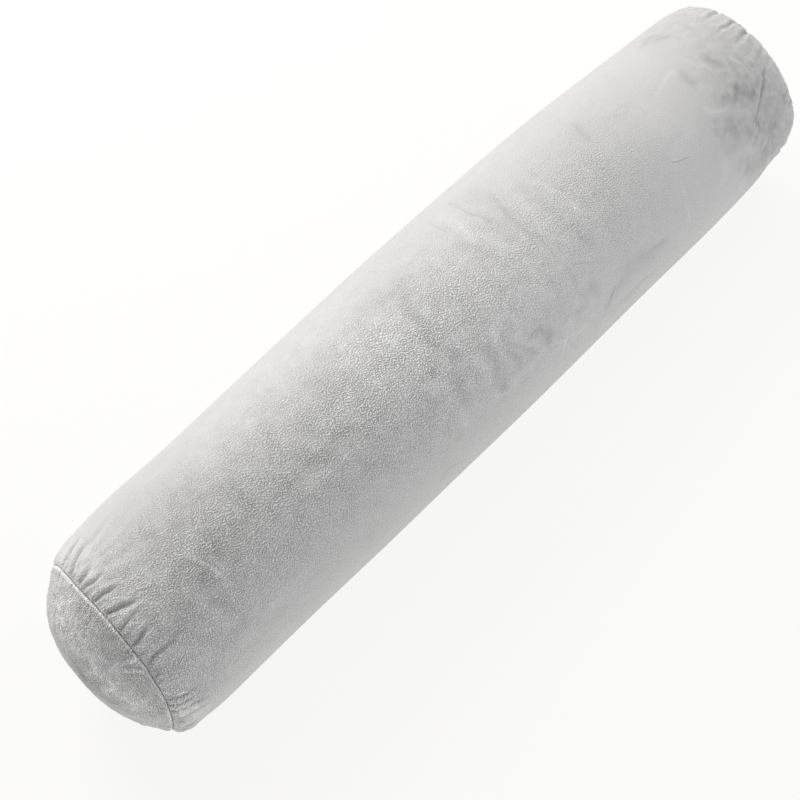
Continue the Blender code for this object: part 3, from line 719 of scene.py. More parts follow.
@functools.cache
def stuffed():
    """Stuff the sewn cover with cloth simulation: the net's arcs, and the relief at its rings and turns."""
    arcs, seams = net_arcs()
    turn, arc = np.meshgrid(turns_of(NET_SIDES), arcs)
    x = np.interp(arc, OUTLINE_ARC, OUTLINE_X)
    from_seam = np.min([np.abs(arc - arcs[seam]) for seam in seams], axis=0)
    draw = np.random.default_rng(SIM_SEED)
    seeds = np.zeros_like(arc)
    for seam, side, reach, count in SIM_DIPS:
        off = (arc - arcs[seams[seam]]) * side
        for _ in range(count):
            around = turn_off(turn, draw.uniform(-180, 180)) * BODY_RADIUS / draw.uniform(*SIM_DIP_WIDTHS)
            fade = np.clip(1 - off / (reach * draw.uniform(*SIM_DIP_REACHES)), 0, 1)
            fade *= np.clip(off / SIM_DIP_RISE, 0, 1)
            seeds -= SIM_DIP_DEPTH * draw.uniform(*SIM_DIP_DEPTHS) * np.exp(-around ** 2) * fade
    seeds += SIM_ROUGHNESS * draw.standard_normal(arc.shape)
    start = surface(x, turn, seeds - START_INSET * (1 - np.exp(-from_seam / START_INSET_RISE)))
    rest = surface(x, turn)

    mesh = bpy.data.meshes.new("cover_net")
    poles = [start[0].mean(axis=0), start[-1].mean(axis=0)]
    mesh.from_pydata([*start.reshape(-1, 3).tolist(), *np.array(poles).tolist()], [],
                     tube_faces(len(arcs), NET_SIDES))
    cover = bpy.data.objects.new("cover_net", mesh)
    bpy.context.scene.collection.objects.link(cover)
    pinned = cover.vertex_groups.new(name="sewn_or_resting")
    for seam in seams:
        pinned.add(list(range(seam * NET_SIDES, (seam + 1) * NET_SIDES)), 1.0, "REPLACE")
    pinned.add(np.flatnonzero(start.reshape(-1, 3)[:, 2] < RESTING_HEIGHT).tolist(), 1.0, "REPLACE")
    spare = cover.vertex_groups.new(name="not_gathered")
    on_panel = (arc < arcs[seams[0]]) | (arc > arcs[seams[1]])
    gathered = np.exp(-from_seam / SPARE_REACH) * np.where(on_panel, PANEL_SPARE_SHARE, 1.0)
    for index, share in enumerate(gathered.ravel()):
        spare.add([index], 1 - float(share), "REPLACE")

    modifier = cover.modifiers.new("stuffing", "CLOTH")
    cloth = modifier.settings
    cloth.vertex_group_mass = pinned.name
    cloth.vertex_group_shrink = spare.name
    cloth.shrink_min, cloth.shrink_max = -SPARE_CLOTH, -SLACK
    cloth.use_pressure = True
    cloth.uniform_pressure_force = SIM_PRESSURE
    cloth.effector_weights.gravity = 0
    cloth.mass = 0.1
    cloth.quality = 6
    cloth.tension_stiffness = cloth.compression_stiffness = 15
    cloth.shear_stiffness = 5
    cloth.bending_stiffness = 0.5
    cloth.air_damping = 1
    modifier.collision_settings.use_collision = False
    scene = bpy.context.scene
    scene.frame_start = modifier.point_cache.frame_start = 1
    scene.frame_end = modifier.point_cache.frame_end = SIM_FRAMES
    for step in range(1, SIM_FRAMES + 1):
        scene.frame_set(step)
    evaluated = cover.evaluated_get(bpy.context.evaluated_depsgraph_get()).to_mesh()
    places = np.zeros(3 * len(evaluated.vertices), dtype=np.float32)
    evaluated.vertices.foreach_get("co", places)
    bpy.data.objects.remove(cover, do_unlink=True)
    scene.frame_set(1)

    settled = places.reshape(-1, 3)[:start.shape[0] * NET_SIDES].reshape(start.shape)
    if not np.isfinite(settled).all():
        raise RuntimeError("the stuffed cover came out of its simulation torn")
    along, around = np.gradient(rest, axis=0), np.roll(rest, -1, axis=1) - np.roll(rest, 1, axis=1)
    normal = np.cross(around, along)
    normal *= np.sign((normal * (rest - rest.mean(axis=1, keepdims=True))).sum(axis=-1, keepdims=True))
    normal /= np.linalg.norm(normal, axis=-1, keepdims=True) + 1e-12
    relief = ((settled - rest) * normal).sum(axis=-1)
    relief -= relief.mean(axis=1, keepdims=True)
    return arcs, SIM_CAP * np.tanh(relief / SIM_CAP)


def cubic_shares(place):
    """Shares of the four neighbours of a place between two samples, for a smooth curve through them."""
    return (
        -0.5 * place + place ** 2 - 0.5 * place ** 3,
        1 - 2.5 * place ** 2 + 1.5 * place ** 3,
        0.5 * place + 2 * place ** 2 - 1.5 * place ** 3,
        -0.5 * place ** 2 + 0.5 * place ** 3,
    )


def stuffed_relief(net):
    """Relief of the simulated cover at a net's points."""
    arcs, relief = stuffed()
    row = np.interp(arc_at(net.station), arcs, np.arange(len(arcs)))
    column = (net.turn + math.pi) / math.tau * NET_SIDES
    total = np.zeros(len(net.x))
    for down, row_share in zip(range(-1, 3), cubic_shares(row % 1)):
        for over, column_share in zip(range(-1, 3), cubic_shares(column % 1)):
            rows = np.clip(row.astype(int) + down, 0, len(arcs) - 1)
            total += row_share * column_share * relief[rows, (column.astype(int) + over) % NET_SIDES]
    slack = TAUT_SHARE + (1 - TAUT_SHARE) * np.exp(-(net.away / TAUT_FROM) ** 2)
    share = slack * (1 - (1 - SEEN_SHARE) * seen(net.turn))
    return total * share * (1 - np.exp(-(net.away / FOLD_RISE) ** 2))


# ---- Meshes ----------------------------------------------------------------------------------------------


def tube_rings():
    """Rings of the tube, from its left seam to its right one, close together near both."""
    half = (SEAM_AT["right"] - SEAM_AT["left"]) / 2
    distances = list(GROOVE_STEPS)
    while distances[-1] < half:
        grown = FINE_STEP + STEP_GROWTH * max(0.0, distances[-1] - FINE_ZONE)
        distances.append(distances[-1] + min(COARSE_STEP, grown))
    rings = {}
    for end_name, stop in (("left", half), ("right", half - COARSE_STEP / 2)):
        rings[end_name] = [
            Ring(end_name, away + SEAM_GAP / 2, FINE_SIDES if away < FINE_ZONE else FINE_SIDES // 2)
            for away in distances if away < stop
        ]
    return rings["left"] + rings["right"][::-1]


def panel_rings(end_name):
    """Rings of a domed end, from its seam to the point in its middle."""
    end = ENDS[end_name]
    rings = [Ring(end_name, -(away + SEAM_GAP / 2), FINE_SIDES) for away in GROOVE_STEPS]
    seam_angle = math.acos((1 - end["panel"] / end["rounding"]) ** (end["roundness"] / 2))
    for step in range(PANEL_STEPS - 1, 0, -1):
        share = math.cos(seam_angle * step / PANEL_STEPS) ** (2 / end["roundness"])
        away = end["rounding"] * (1 - share) - end["panel"]
        if away > rings[-1].away - PANEL_LEAST_STEP:
            continue
        radius = float(outline_radius(SEAM_AT[end_name] + INWARD[end_name] * away))
        sides = rings[-1].sides
        if sides > FEWEST_SIDES and math.tau * radius / sides < POINT_SPACING:
            sides //= 2
        rings.append(Ring(end_name, away, sides))
    return rings + [Ring(end_name, -end["panel"], 1)]


def sewn_face(edge):
    """Rings that close a piece across its sewn face, from its edge to the middle."""
    centre = edge.mean(axis=0)
    rings = []
    while len(edge) > FEWEST_SIDES:
        edge = edge[::2]
        share = CLOSING_SHARE if len(edge) > MANY_SIDES else LAST_CLOSING_SHARE
        edge = centre + share * (edge - centre)
        rings.append(edge)
    return rings + [centre[None]]


def ring_faces(first, count, following, next_count):
    """Faces from a ring of points to the next, which has as many, half or twice as many, or is one point."""
    faces = []
    most = max(count, next_count)
    for i in range(most):
        j = (i + 1) % most
        if count == next_count:
            faces.append((first + i, following + i, following + j, first + j))
        elif next_count == 1:
            faces.append((first + i, following, first + j))
        elif count == 1:
            faces.append((first, following + i, following + j))
        elif count < next_count and i % 2 == 0:
            a, b, c = first + i // 2, first + (i // 2 + 1) % count, following + (i + 2) % most
            faces += [(a, following + i, following + j), (a, following + j, b), (b, following + j, c)]
        elif count > next_count and i % 2 == 0:
            a, b, c = following + i // 2, following + (i // 2 + 1) % next_count, first + (i + 2) % most
            faces += [(first + i, a, first + j), (first + j, a, b), (first + j, b, c)]
    return faces


def pile_map(net, panel):
    """Where each point lies on its flat cloth, in metres: along and round the tube, or across a panel."""
    if not panel:
        return np.stack([net.arc, net.turn * BODY_RADIUS], axis=-1)
    from_middle = np.minimum(net.arc, OUTLINE_ARC[-1] - net.arc)
    return np.stack([from_middle * np.cos(net.turn), from_middle * np.sin(net.turn)], axis=-1)


def add_pile_map(mesh, flat, round_trip):
    """UV map of the flat cloth. A face that closes the tube's round trip gets both its sides there."""
    corners = np.zeros(len(mesh.loops), dtype=np.int32)
    mesh.loops.foreach_get("vertex_index", corners)
    starts = np.zeros(len(mesh.polygons), dtype=np.int32)
    mesh.polygons.foreach_get("loop_start", starts)
    places = flat[corners]
    furthest = np.repeat(np.maximum.reduceat(places[:, 1], starts), np.diff([*starts, len(corners)]))
    places[:, 1] += np.where(furthest - places[:, 1] > round_trip / 2, round_trip, 0)
    mesh.uv_layers.new(name=PILE_MAP).uv.foreach_set("vector", places.astype(np.float32).ravel())


def cloth_mesh(name, before, net, places, after, attributes):
    """Mesh of a net and of the closing rings before and after it, with the net's attributes on its points."""
    rings = before + np.split(places, np.cumsum(net.counts)[:-1]) + after
    faces, start = [], 0
    for ring, following in zip(rings, rings[1:]):
        faces += ring_faces(start, len(ring), start + len(ring), len(following))
        start += len(ring)
    mesh = bpy.data.meshes.new(name)
    mesh.from_pydata(np.concatenate(rings).tolist(), [], faces)
    closing = (sum(map(len, before)), sum(map(len, after)))
    for key, values in attributes.items():
        layer = mesh.attributes.new(key, "FLOAT", "POINT")
        layer.data.foreach_set("value", np.pad(values, closing, mode="edge").astype(np.float32))
    panel = net.away.min() < 0
    flat = np.pad(pile_map(net, panel), (closing, (0, 0)), mode="edge")
    add_pile_map(mesh, flat, math.inf if panel else math.tau * BODY_RADIUS)
    mesh.shade_smooth()
    return mesh


def crease_field(net):
    """Distance of each point from its nearest crease in half widths of it, and that crease's depth there."""
    nearest, depth = np.full(len(net.x), CREASE_SPAN), np.zeros(len(net.x))
    half_widths = np.full(len(net.x), MM)
    setting_in, running_out = CREASE_TAPERS
    for crease in CREASES:
        near, share, across = net.off_path(crease.path, CREASE_SPAN, CREASE_STRAYING)
        closer = np.abs(across) < np.abs(nearest[near])
        points, off = near[closer], across[closer]
        taper = smoothstep(share[closer] / setting_in) * smoothstep((1 - share[closer]) / running_out)
        nearest[points] = off
        half_widths[points] = crease.width * MM / 2
        depth[points] = crease.depth * taper * smoothstep(2 - 2 * np.abs(off) / CREASE_SPAN)
    return nearest / half_widths, depth


# Sum of the listed marks: the nap's own, and painted shade and painted highlight
def nap_and_painted_light_field(net):
    total = np.zeros(len(net.x))
    uneven = 1 + BRUSH_UNEVEN_SHARE * net.ripples(**BRUSH_UNEVENNESS)
    for mark in NAP_AND_PAINTED_LIGHT:
        width = mark.width * MM * BRUSH_HALF_WIDTH
        straying = min(BRUSH_MOST_STRAYING, mark.width / BRUSH_LOOSE_WIDTH)
        near, _, across = net.off_path(mark.path, BRUSH_REACH * width, straying)
        total[near] += mark.shade * np.exp(-(np.abs(across) / width) ** BRUSH_EDGE) * uneven[near]
    return total


def piece_net(net, parts):
    """Relief and attributes of a net, with the folds that belong to the named parts of the cover."""
    shape = bpy.context.scene.pillow_shape
    folds = [fold for part in parts for fold in FOLDS[part]]
    folds += [fold for part in parts for fold in unseen_folds(part)]
    folded = fold_relief(net, folds) * shape.fold_depth + stuffed_relief(net)
    pole = 1 - np.exp(-(outline_radius(net.x) / POLE_RADIUS) ** 2)
    crumples = net.lumps(CRUMPLED) * MM * (np.abs(net.ripples(**CRUMPLES)) - CRUMPLE_MEAN)
    relief = (net.lumps(LUMPS) * MM + folded + crumples) * pole
    relief += seam_relief(net, shape.seam_depth, shape.seam_lip)
    across, depth = crease_field(net)
    attributes = {
        # marks of the nap, and painted shade and painted highlight on folds, creases, seams and the left
        # panel's rim
        "brushed": nap_and_painted_light_field(net),
        "grain": np.clip(GRAIN_FLOOR + net.lumps(GRAINY), 0, 1),
        "mottled": np.clip(MOTTLING_FLOOR + net.lumps(MOTTLED), 0, 1),
        # relief of the folds in mm, which the plush paints as shade in valleys and highlight on ridges
        "folded": folded * pole / MM,
        "crease_across": across,
        "crease_depth": depth,
        "seam_away": net.away,
        "seam_turn": net.turn,
    }
    return surface(net.x, net.turn, relief), attributes


# ---- Node trees ------------------------------------------------------------------------------------------


class Signal:
    """A node's output that can stand in a sum: each operator adds the Math node that works it out."""

    def __init__(self, graph, socket):
        self.graph = graph
        self.socket = socket

    def __add__(self, other):
        return self.graph.maths("ADD", self, other)

    def __sub__(self, other):
        return self.graph.maths("SUBTRACT", self, other)

    def __rsub__(self, other):
        return self.graph.maths("SUBTRACT", other, self)

    def __mul__(self, other):
        return self.graph.maths("MULTIPLY", self, other)

    def __truediv__(self, other):
        return self.graph.maths("DIVIDE", self, other)

    def __pow__(self, other):
        return self.graph.maths("POWER", self, other)

    def __neg__(self):
        return self.graph.maths("MULTIPLY", self, -1.0)

    def __abs__(self):
        return self.graph.maths("ABSOLUTE", self)

    __radd__ = __add__
    __rmul__ = __mul__


class Graph:
    """A node tree that is being written."""

    def __init__(self, tree):
        self.tree = tree

    def add(self, kind, settings=None, inputs=None, output=0):
        """Add a node, set it up, feed its sockets with values or signals, and give one of its outputs."""
        node = self.tree.nodes.new(kind)
        for name, value in (settings or {}).items():
            setattr(node, name, value)
        for key, value in (inputs or {}).items():
            self.feed(node.inputs[key], value)
        return Signal(self, node.outputs[output])

    def feed(self, socket, value):
        if isinstance(value, Signal):
            self.tree.links.new(value.socket, socket)
        else:
            socket.default_value = value

    def maths(self, operation, *values):
        return self.add("ShaderNodeMath", {"operation": operation}, dict(enumerate(values)))

    def noise(self, place, scale, detail=0.0, distortion=0.0):
        """Noise about 0, from -0.5 to 0.5."""
        inputs = {"Vector": place, "Scale": scale, "Detail": detail, "Distortion": distortion}
        return self.add("ShaderNodeTexNoise", None, inputs) - 0.5

    def attribute(self, name):
        return self.add("ShaderNodeAttribute", {"attribute_name": name}, output="Fac")


# Noise along the seam, read on a circle of radius 1: one wavers the row of puckers, one lets them come and go
PUCKER_WAVER_SCALE = 4.0
PUCKER_UNEVENNESS = 5.0      # puckers by which the row wavers
PUCKER_PATCH_SCALE = 9.0
PUCKER_CONTRAST = 3.0
PUCKER_MEAN = 0.6


def pucker_tree():
    """Node tree that puckers the cloth in a row of small folds along its seams."""
    tree = bpy.data.node_groups.new("seam_puckers", "GeometryNodeTree")
    for name, kind in (("Geometry", "Geometry"), ("Count", "Float"), ("Depth", "Float"), ("Reach", "Float"),
                       ("Unevenness", "Float"), ("Seed", "Float"), ("Material", "Material")):
        tree.interface.new_socket(name, in_out="INPUT", socket_type="NodeSocket" + kind)
    tree.interface.new_socket("Geometry", in_out="OUTPUT", socket_type="NodeSocketGeometry")
    graph = Graph(tree)
    group = tree.nodes.new("NodeGroupInput")
    value = {socket.name: Signal(graph, socket) for socket in group.outputs if socket.name}

    def named(name):
        settings = {"data_type": "FLOAT"}
        return graph.add("GeometryNodeInputNamedAttribute", settings, {"Name": name}, "Attribute")

    turn, away = named("seam_turn"), abs(named("seam_away"))
    circle = graph.add("ShaderNodeCombineXYZ", None, {
        "X": graph.maths("COSINE", turn), "Y": graph.maths("SINE", turn), "Z": value["Seed"]})
    wavering = graph.noise(circle, PUCKER_WAVER_SCALE) * value["Unevenness"]
    row = turn * (1 / math.tau) * value["Count"] + wavering
    wave = abs(graph.maths("SINE", row * math.pi)) * 2 - 1
    come_and_go = graph.noise(circle, PUCKER_PATCH_SCALE) * PUCKER_CONTRAST + PUCKER_MEAN
    strength = graph.maths("MAXIMUM", come_and_go, 0.0)
    near = away / value["Reach"]
    fade = near * graph.maths("EXPONENT", 1 - near)
    lift = graph.add("ShaderNodeVectorMath", {"operation": "SCALE"}, {
        0: graph.add("GeometryNodeInputNormal"), "Scale": wave * strength * fade * value["Depth"]})
    moved = graph.add("GeometryNodeSetPosition", None, {"Geometry": value["Geometry"], "Offset": lift})
    real = graph.add("GeometryNodeRealizeInstances", None, {"Geometry": moved})
    covered = graph.add("GeometryNodeSetMaterial", None, {"Geometry": real, "Material": value["Material"]})
    graph.feed(tree.nodes.new("NodeGroupOutput").inputs[0], covered)
    return tree


# Plush. Scales are to a metre, tones are logarithms of how much lighter or darker.
Patches = namedtuple("Patches", "scale detail distortion contrast")
ROUND_PATCHES = (Patches(20.0, 2.0, 1.2, 12.0),)
BRUSHED_PATCHES = (Patches(45.0, 2.0, 2.2, 10.0), Patches(120.0, 1.0, 1.2, 3.0))
BRUSHED_TURN = math.radians(43)              # direction in which these are longer, and by how much
BRUSHED_STRETCH = (1.6, 1.0, 1.0)
GRAIN_TURN = math.radians(-75)
GRAIN_ORDER = 0.36                           # share of the grains that keep to that direction
GRAIN_CLUMP_SCALE = 60.0
GRAIN_CLUMPING = 0.5                         # how unevenly high the grains stand, round their mean
GRAIN_MEAN = 0.5
# grainy pile is painted this much paler, as painted light that its standing grains catch
GRAIN_PAINTED_LIGHT = 0.10
FIBRE_SCALE = 900.0
FIBRE_SHARE = 1.2                            # height of single fibres, in grains
SEAM_LIGHT_WAVER_SCALE = 180.0                           # of the noise by which the painted highlight and painted shade along a seam come and go
LIP_PAINTED_HIGHLIGHTS = {"tube": 0.05, "end": 0.30}      # painted highlight on the lip beside a seam: how much paler it is, on average
LIP_LINE = 0.0013                            # distance from the seam of the painted highlight along its lip
GROOVE_SHADE_REACH = 0.0005                  # distance from the seam over which painted shade darkens its groove
GROOVE_PAINTED_SHADE = 0.25
GROOVE_SHADE_BESIDE_FAINT_LIP = 1.3                          # how dark the groove's painted shade is where the lip's painted highlight is faintest
CREASE_SIDE = 2.2                            # half widths between a crease and the cloth raised beside it
CREASE_SIDE_SHARE = 0.5                      # height of that cloth, as a share of the crease's depth
# painted shade along a crease, and painted highlight on the cloth raised beside it
CREASE_PAINTED_LIGHT = 0.20
CREASE_DEPTH = 0.0007
FOLD_PAINTED_LIGHT = 0.13                             # painted shade in a fold's valley and painted highlight on its ridges, to each mm of its relief
FOLD_PAINTED_LIGHT_TOP = 1.2                          # mm of relief from which a ridge's painted highlight grows no more
ROUGHNESS_SCALE = 40.0
ROUGHNESS_SPREAD = 0.08
PILE_SPECULAR = 0.2


def plush_material(name, lip_highlight):
    """Short pile, lighter and darker in patches of its nap, standing in grains that are painted paler, with
    painted highlight of the given strength on a seam's lip, and painted shade and highlight at its groove,
    creases and folds.
    """
    finish = bpy.context.scene.plush_finish
    material = bpy.data.materials.new(name)
    material.use_nodes = True
    graph = Graph(material.node_tree)
    shader = material.node_tree.nodes["Principled BSDF"]
    place = graph.add("ShaderNodeTexCoord", output="Object")
    flat = graph.add("ShaderNodeUVMap", {"uv_map": PILE_MAP})
    along_pile = graph.add("ShaderNodeMapping", {"vector_type": "TEXTURE"}, {
        "Vector": place, "Rotation": (0.0, 0.0, BRUSHED_TURN), "Scale": BRUSHED_STRETCH})
    grain = graph.attribute("grain")
    phase = graph.add("ShaderNodeTexGabor", {"gabor_type": "2D"}, {
        "Vector": flat, "Scale": finish.grain_scale / GRAIN_RUN, "Frequency": GRAIN_RUN,
        "Anisotropy": GRAIN_ORDER, "Orientation 2D": GRAIN_TURN}, "Phase")
    clumps = graph.noise(flat, GRAIN_CLUMP_SCALE) * GRAIN_CLUMPING + GRAIN_MEAN
    pile = graph.maths("COSINE", phase * math.tau) * clumps + graph.noise(flat, FIBRE_SCALE) * FIBRE_SHARE

    away = abs(graph.attribute("seam_away"))
    # Painted highlight along the lip beside a seam and painted shade in its groove, wavering together along
    # the seam
    seam_light_waver = graph.noise(place, SEAM_LIGHT_WAVER_SCALE, 1.0) + 0.5
    # The waver is a half on average, so twice of it gives the lip's painted highlight its mean
    lip = graph.maths("EXPONENT", -((away / LIP_LINE - 1.0) ** 2)) * seam_light_waver * (lip_highlight * 2)
    groove = graph.maths("EXPONENT", -(away / GROOVE_SHADE_REACH)) * (GROOVE_SHADE_BESIDE_FAINT_LIP - seam_light_waver)
    # A crease: painted shade along it and painted highlight beside it, and a bump in the height below
    across = graph.attribute("crease_across")
    beside = graph.maths("EXPONENT", -((across - CREASE_SIDE) ** 2)) * CREASE_SIDE_SHARE
    crease = (graph.maths("EXPONENT", -(across ** 2)) - beside) * graph.attribute("crease_depth")
    # Painted shade in fold valleys and painted highlight on their ridges, from the folds' relief
    folded = graph.maths("MINIMUM", graph.attribute("folded"), FOLD_PAINTED_LIGHT_TOP)
    levels = [graph.noise(space, row.scale, row.detail, row.distortion) * row.contrast
              for space, rows in ((place, ROUND_PATCHES), (along_pile, BRUSHED_PATCHES)) for row in rows]
    patches = sum(level / (abs(level) + 1.0) for level in levels)
    # Marks of the nap with painted shade and painted highlight, the grains, and grainy pile painted paler
    shade = graph.attribute("brushed") + pile * grain * finish.grain_tone + grain * GRAIN_PAINTED_LIGHT
    shade = shade + patches * graph.attribute("mottled") * finish.mottling
    shade = shade + lip - groove * GROOVE_PAINTED_SHADE - crease * CREASE_PAINTED_LIGHT + folded * FOLD_PAINTED_LIGHT
    base = graph.add("ShaderNodeVectorMath", {"operation": "SCALE"}, {
        0: tuple(finish.colour), "Scale": graph.maths("EXPONENT", shade)})
    graph.feed(shader.inputs["Base Color"], base)
    roughness = finish.roughness + graph.noise(place, ROUGHNESS_SCALE) * ROUGHNESS_SPREAD
    graph.feed(shader.inputs["Roughness"], roughness)
    height = pile * (grain * finish.grain_height) - crease * CREASE_DEPTH
    graph.feed(shader.inputs["Normal"], graph.add("ShaderNodeBump", None, {
        "Strength": 1.0, "Distance": 1.0, "Height": height}))
    shader.inputs["Sheen Weight"].default_value = finish.sheen
    shader.inputs["Sheen Roughness"].default_value = finish.sheen_roughness
    shader.inputs["Specular IOR Level"].default_value = PILE_SPECULAR
    return material


def floor_material(studio):
    """Pale floor that glows a little, as a sheet lit from all round does."""
    material = bpy.data.materials.new("pale_floor")
    material.use_nodes = True
    shader = material.node_tree.nodes["Principled BSDF"]
    shader.inputs["Base Color"].default_value = (*studio.floor_colour, 1)
    shader.inputs["Roughness"].default_value = 1.0
    shader.inputs["Specular IOR Level"].default_value = 0.0
    shader.inputs["Emission Color"].default_value = FLOOR_GLOW_TINT
    shader.inputs["Emission Strength"].default_value = studio.floor_glow
    return material


# ---- Settings, operators and panel -----------------------------------------------------------------------


def length_setting(name, description, default, most, least=0.0):
    return FloatProperty(
        name=name, description=description, default=default, min=least, max=most, unit="LENGTH")


def factor_setting(name, description, default, most=1.0):
    return FloatProperty(
        name=name, description=description, default=default, min=0.0, max=most, subtype="FACTOR")


def colour_setting(name, description, default):
    return FloatVectorProperty(
        name=name, description=description, default=default, size=3, min=0.0, max=1.0, subtype="COLOR")


class PillowShape(bpy.types.PropertyGroup):
    """Sizes of the sewing that a user may change; the stuffed outline itself is the part's"""

    seam_depth: length_setting("Seam depth", "How deep the seams draw into the cloth", 0.0009, 0.004)
    seam_lip: length_setting("Seam lip", "How far the cloth stands up beside a seam", 0.0005, 0.003)
    fold_depth: factor_setting("Fold depth", "Depth of the gathered folds, as a share of their own", 1.0, 2.0)
    pucker_count: IntProperty(
        name="Puckers", description="Number of small puckers round a seam", default=62, min=10, max=200)
    pucker_depth: length_setting("Pucker depth", "Height of the small puckers along a seam", 0.0002, 0.002)
    pucker_reach: length_setting(
        "Pucker reach", "Distance from the seam at which a pucker is highest", 0.0035, 0.02, least=0.001)


class PlushFinish(bpy.types.PropertyGroup):
    """Colour and pile of the cover"""

    colour: colour_setting("Colour", "Base colour of the plush", (0.60, 0.594, 0.585))
    roughness: factor_setting("Roughness", "Roughness of the pile", 0.9)
    sheen: factor_setting("Sheen", "Strength of the pale sheen at the edges", 0.3)
    sheen_roughness: factor_setting("Sheen roughness", "How wide the sheen spreads", 0.5)
    mottling: factor_setting("Mottling", "How much darker or lighter the pile lies in patches", 0.14, 0.5)
    grain_scale: FloatProperty(
        name="Grain scale", description="Grains of pile to a metre", default=450.0, min=50.0, max=2000.0)
    grain_height: length_setting(
        "Grain height", "Height of the grains where the pile stands up", 0.0011, 0.005)
    grain_tone: factor_setting("Grain tone", "How much darker the pile is between its grains", 0.5)


class PillowStudio(bpy.types.PropertyGroup):
    """Floor, light and camera"""

    floor_colour: colour_setting("Floor colour", "Colour of the floor", (0.15, 0.15, 0.15))
    floor_glow: FloatProperty(
        name="Floor glow", description="Light that the floor gives off", default=0.84, min=0.0, max=2.0)
    surroundings: FloatProperty(
        name="Surroundings", description="Light from all round", default=0.5, min=0.0, max=2.0)
    lens: FloatProperty(
        name="Focal length", description="Focal length of the camera, in millimetres", default=72.0,
        min=10.0, max=300.0, unit="CAMERA")


Lamp = namedtuple("Lamp", "name place size watts colour")
LAMPS = [
    Lamp("key", (0.2, 1.7, 1.4), 1.4, 26.0, (1.0, 0.975, 0.925)),
    Lamp("low_key", (0.2, 2.0, 0.7), 1.4, 6.0, (1.0, 0.985, 0.96)),
    Lamp("far_top", (1.0, 0.3, 1.9), 1.2, 6.5, (1.0, 1.0, 1.0)),
    Lamp("far_fill", (1.4, -1.4, 1.0), 1.4, 6.5, (0.92, 0.96, 1.0)),
]
LAMP_AIM = (0.0, 0.0, 0.1)
FLOOR_HALF = 8.0
FLOOR_GLOW_TINT = (1.0, 0.995, 0.985, 1.0)
SKY_SHOWN = 0.95             # brightness of the surroundings that the camera sees
SKY_TINT = (0.975, 0.98, 1.0, 1.0)             # of the light from all round, a little cool
PLAIN_WHITE = (1.0, 1.0, 1.0, 1.0)
CAMERA_PLACE = (-0.58644, -0.50477, 1.43047)
CAMERA_AZIMUTH = math.radians(46.613)          # from +Y towards +X
CAMERA_DROP = math.radians(62.031)             # below the horizon
SENSOR_WIDTH = 36.0


def link(scene_object):
    bpy.context.scene.collection.objects.link(scene_object)
    return scene_object


def puckered(name, mesh, material):
    """Plain mesh of a piece with its seam puckers, made by the node tree."""
    shape = bpy.context.scene.pillow_shape
    draft = link(bpy.data.objects.new(name + "_draft", mesh))
    modifier = draft.modifiers.new("puckers", "NODES")
    modifier.node_group = bpy.data.node_groups.get("seam_puckers") or pucker_tree()
    values = {"Count": float(shape.pucker_count), "Depth": shape.pucker_depth, "Reach": shape.pucker_reach,
              "Unevenness": PUCKER_UNEVENNESS, "Seed": float(len(name)), "Material": material}
    for item in modifier.node_group.interface.items_tree:
        if item.in_out == "INPUT" and item.name in values:
            modifier[item.identifier] = values[item.name]
    evaluated = draft.evaluated_get(bpy.context.evaluated_depsgraph_get())
    finished = bpy.data.meshes.new_from_object(evaluated)
    bpy.data.objects.remove(draft, do_unlink=True)
    finished.name = name
    return finished


def add_piece(name, mesh, material, node):
    """Give a finished mesh its puckers and its plush, and let it stand for its CAD node."""
    piece = link(bpy.data.objects.new(name, puckered(name, mesh, material)))
    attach(piece, "root")
    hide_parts(node)
    print(name, sum(len(face.vertices) - 2 for face in piece.data.polygons), "triangles")


class PILLOW_OT_add_tube(bpy.types.Operator):
    """Sew, stuff and gather the tube of the pillow"""

    bl_idname = "pillow.add_tube"
    bl_label = "Add Plush Tube"

    def execute(self, context):
        net = Net(tube_rings())
        places, attributes = piece_net(net, ("left", "right"))
        first, last = places[:FINE_SIDES], places[-FINE_SIDES:]
        mesh = cloth_mesh("plush_tube", sewn_face(first)[::-1], net, places, sewn_face(last), attributes)
        material = plush_material("plush_tube", LIP_PAINTED_HIGHLIGHTS["tube"])
        add_piece("plush_tube", mesh, material, "body_tube")
        return {"FINISHED"}


class PILLOW_OT_add_ends(bpy.types.Operator):
    """Sew the round end panels, domed by the filling"""

    bl_idname = "pillow.add_ends"
    bl_label = "Add Plush Ends"

    def execute(self, context):
        material = plush_material("plush_end", LIP_PAINTED_HIGHLIGHTS["end"])
        for end_name in ENDS:
            rings = panel_rings(end_name)
            net = Net(rings[::-1] if end_name == "left" else rings)
            places, attributes = piece_net(net, (end_name + " panel",))
            name = "plush_end_" + end_name
            before, after = [], []
            if end_name == "left":
                after = sewn_face(places[-FINE_SIDES:])
            else:
                before = sewn_face(places[:FINE_SIDES])[::-1]
            mesh = cloth_mesh(name, before, net, places, after, attributes)
            add_piece(name, mesh, material, "end_panel_" + end_name)
        return {"FINISHED"}


